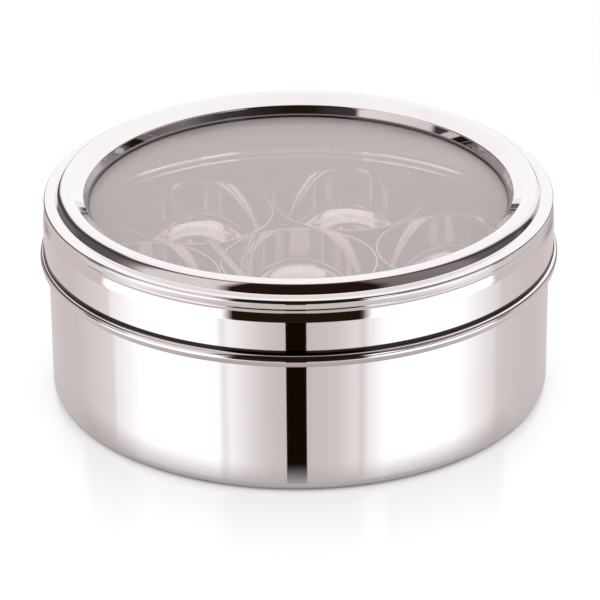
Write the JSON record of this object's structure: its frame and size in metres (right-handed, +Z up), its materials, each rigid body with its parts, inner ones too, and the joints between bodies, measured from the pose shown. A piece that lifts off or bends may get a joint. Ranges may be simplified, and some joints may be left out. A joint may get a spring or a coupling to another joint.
{
  "type": "spice box",
  "caption": "Round polished steel spice box with a lift-off see-through lid, loose inner bowls and a small spoon, for keeping and serving ground spices.",
  "frame": {"origin": "middle of the face that the box stands on", "axes": "+Z up along the box's axis, -Y towards the front of the picture, +X to its right"},
  "size_m": [0.2068, 0.2068, 0.0863],
  "materials": {
    "container_steel": "mirror-polished stainless steel sheet",
    "lid_steel": "mirror-polished stainless steel sheet",
    "bowl_steel": "polished stainless steel sheet, a little softer inside",
    "spoon_steel": "polished stainless steel",
    "clear_pane": "clear polished acrylic"
  },
  "bodies": {
    "container": {"container": "container_steel"},
    "lid": {"lid_shell": "lid_steel", "window_pane": "clear_pane", "pane_ring": "lid_steel"},
    "bowl_centre": {"bowl_centre": "bowl_steel"},
    "bowl_1": {"bowl_1": "bowl_steel"},
    "bowl_2": {"bowl_2": "bowl_steel"},
    "bowl_3": {"bowl_3": "bowl_steel"},
    "bowl_4": {"bowl_4": "bowl_steel"},
    "bowl_5": {"bowl_5": "bowl_steel"},
    "bowl_6": {"bowl_6": "bowl_steel"},
    "spoon": {"spoon": "spoon_steel"}
  },
  "joints": [
    {"name": "lid_lift", "type": "slide", "parent": "container", "child": "lid", "axis": [0, 0, 1], "range_m": [0, 0.24]},
    {"name": "bowl_centre_lift", "type": "slide", "parent": "container", "child": "bowl_centre", "axis": [0, 0, 1], "range_m": [0, 0.108]},
    {"name": "bowl_1_lift", "type": "slide", "parent": "container", "child": "bowl_1", "axis": [0, 0, 1], "range_m": [0, 0.09]},
    {"name": "bowl_2_lift", "type": "slide", "parent": "container", "child": "bowl_2", "axis": [0, 0, 1], "range_m": [0, 0.09]},
    {"name": "bowl_3_lift", "type": "slide", "parent": "container", "child": "bowl_3", "axis": [0, 0, 1], "range_m": [0, 0.09]},
    {"name": "bowl_4_lift", "type": "slide", "parent": "container", "child": "bowl_4", "axis": [0, 0, 1], "range_m": [0, 0.09]},
    {"name": "bowl_5_lift", "type": "slide", "parent": "container", "child": "bowl_5", "axis": [0, 0, 1], "range_m": [0, 0.09]},
    {"name": "bowl_6_lift", "type": "slide", "parent": "container", "child": "bowl_6", "axis": [0, 0, 1], "range_m": [0, 0.09]},
    {"name": "spoon_lift", "type": "slide", "parent": "container", "child": "spoon", "axis": [0, 0, 1], "range_m": [0, 0.132]}
  ],
  "couplings": [
    {"joint": "bowl_centre_lift", "follows": "lid_lift", "ratio": 0.45},
    {"joint": "bowl_1_lift", "follows": "lid_lift", "ratio": 0.375},
    {"joint": "bowl_2_lift", "follows": "lid_lift", "ratio": 0.375},
    {"joint": "bowl_3_lift", "follows": "lid_lift", "ratio": 0.375},
    {"joint": "bowl_4_lift", "follows": "lid_lift", "ratio": 0.375},
    {"joint": "bowl_5_lift", "follows": "lid_lift", "ratio": 0.375},
    {"joint": "bowl_6_lift", "follows": "lid_lift", "ratio": 0.375},
    {"joint": "spoon_lift", "follows": "lid_lift", "ratio": 0.55}
  ]
}
